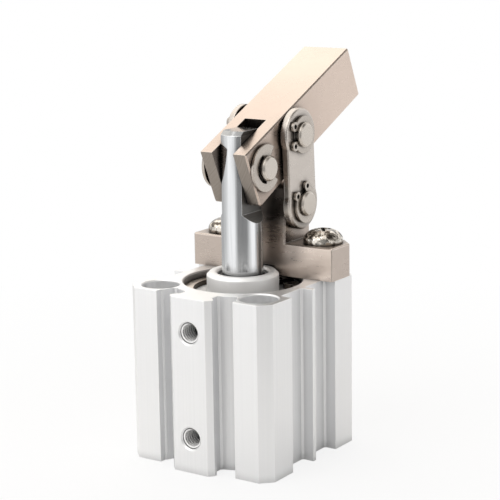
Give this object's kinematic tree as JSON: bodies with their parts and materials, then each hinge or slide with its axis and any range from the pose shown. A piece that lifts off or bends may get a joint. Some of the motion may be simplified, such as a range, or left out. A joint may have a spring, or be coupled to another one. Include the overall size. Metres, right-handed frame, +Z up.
{
  "type": "lever clamp cylinder",
  "caption": "Compact square air cylinder whose rod tips a clamping lever carried by two link plates on a bracket.",
  "frame": {"origin": "centre of the cylinder body's bottom face, on the rod's axis", "axes": "+Z up along the rod towards the lever, -Y out of the port rail, +Y towards the bracket, X along every cross pin"},
  "size_m": [0.0404, 0.0664, 0.0942],
  "materials": {
    "anodised_aluminium": "matt clear anodised",
    "satin_nickel_steel": "satin nickel plated, ground",
    "ground_steel": "ground and plated",
    "polished_rod": "hard chrome, polished",
    "bright_screw": "bright plated",
    "spring_steel": "plated spring steel",
    "black_rubber": "matt black",
    "bronze_bush": "sintered bronze",
    "guide_plastic": "wear ring"
  },
  "bodies": {
    "barrel": {"cylinder_body": "anodised_aluminium", "front_cover": "anodised_aluminium", "rear_cover": "anodised_aluminium", "front_cover_seal": "black_rubber", "rear_cover_seal": "black_rubber", "front_retaining_ring": "spring_steel", "rear_retaining_ring": "spring_steel", "rod_bush": "bronze_bush", "rod_seal": "black_rubber", "rod_wiper": "black_rubber", "clamp_bracket": "satin_nickel_steel", "bracket_screws": "bright_screw", "lower_link_pin": "ground_steel", "lower_pin_rings": "spring_steel"},
    "rod": {"piston_rod": "polished_rod", "piston": "anodised_aluminium", "piston_seal": "black_rubber", "piston_guide_ring": "guide_plastic", "piston_bolt": "bright_screw", "front_bumper": "black_rubber", "rear_bumper": "black_rubber", "rod_pin": "ground_steel", "rod_pin_clips": "spring_steel"},
    "lever": {"clamp_lever": "satin_nickel_steel"},
    "links": {"link_plate_right": "satin_nickel_steel", "link_plate_left": "satin_nickel_steel", "upper_link_pin": "ground_steel", "upper_pin_rings": "spring_steel"}
  },
  "joints": [
    {"name": "rod_slide", "type": "slide", "parent": "barrel", "child": "rod", "axis": [0, 0, 1], "range_m": [-0.01375, 0.00625]},
    {"name": "lever_pivot", "type": "hinge", "parent": "rod", "child": "lever", "pos_m": [0, 0, 0.0695], "axis": [1, 0, 0], "range_deg": [-24.83, 54.27]},
    {"name": "link_pivot", "type": "hinge", "parent": "barrel", "child": "links", "pos_m": [0, 0.01375, 0.0591], "axis": [1, 0, 0], "range_deg": [-15.56, 33.86]}
  ],
  "couplings": [
    {"joint": "lever_pivot", "follows": "rod_slide", "rad_per_m": -68.5},
    {"joint": "link_pivot", "follows": "rod_slide", "rad_per_m": -42.6}
  ]
}
